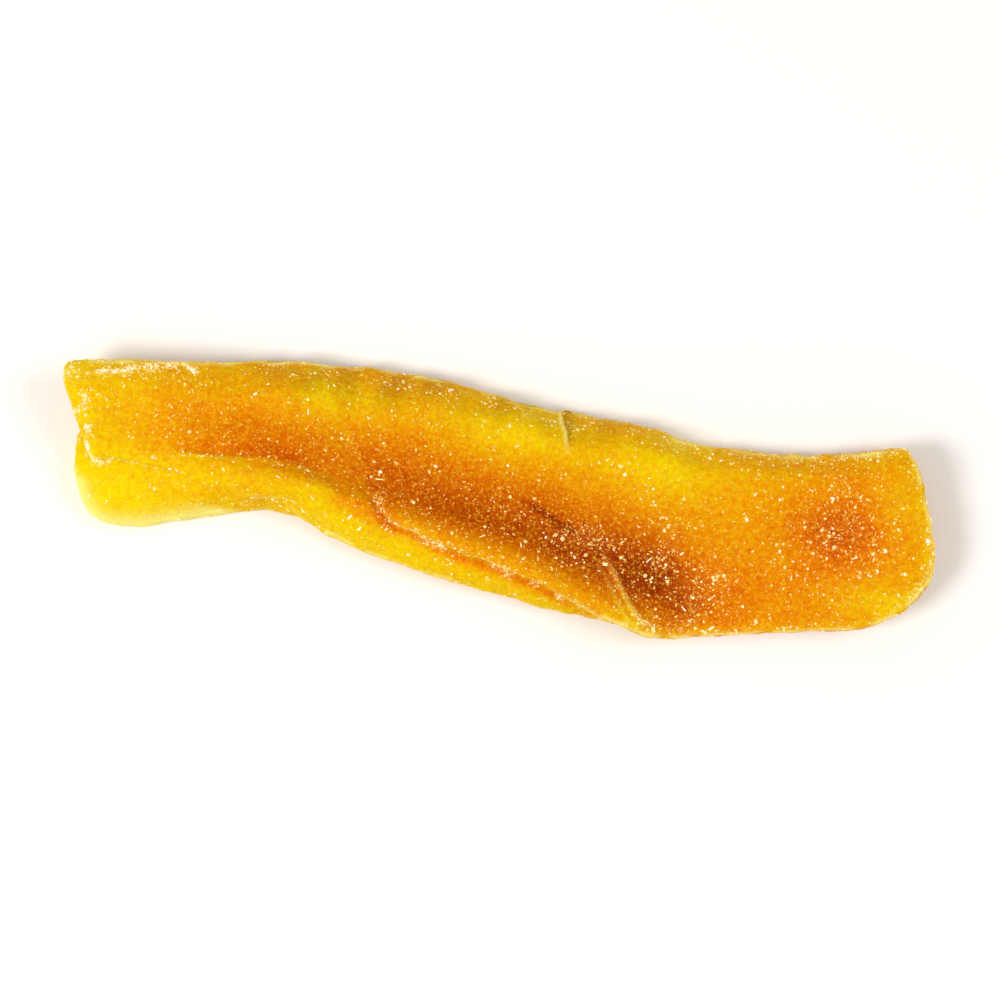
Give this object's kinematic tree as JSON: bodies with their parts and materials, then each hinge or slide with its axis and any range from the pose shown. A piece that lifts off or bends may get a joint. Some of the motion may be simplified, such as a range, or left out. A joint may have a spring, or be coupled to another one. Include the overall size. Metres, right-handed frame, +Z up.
{
  "type": "dried mango cheek",
  "caption": "Long curled slice of dried mango with a gutter along it, a folded front margin, a cut left end and a round right end.",
  "frame": {"origin": "on the surface that the slice lies on, under the middle of its box", "axes": "+X along the slice from the cut left end to the round right end, +Y to its back edge, +Z up out of the face that shows"},
  "size_m": [0.1304, 0.0335, 0.0103],
  "materials": {
    "dried_mango": "leathery satin, lemon margins and orange flesh",
    "sugar": "pale crystals of the fruit's sugar"
  },
  "bodies": {
    "root": {"mango_cheek": "dried_mango"}
  },
  "joints": []
}
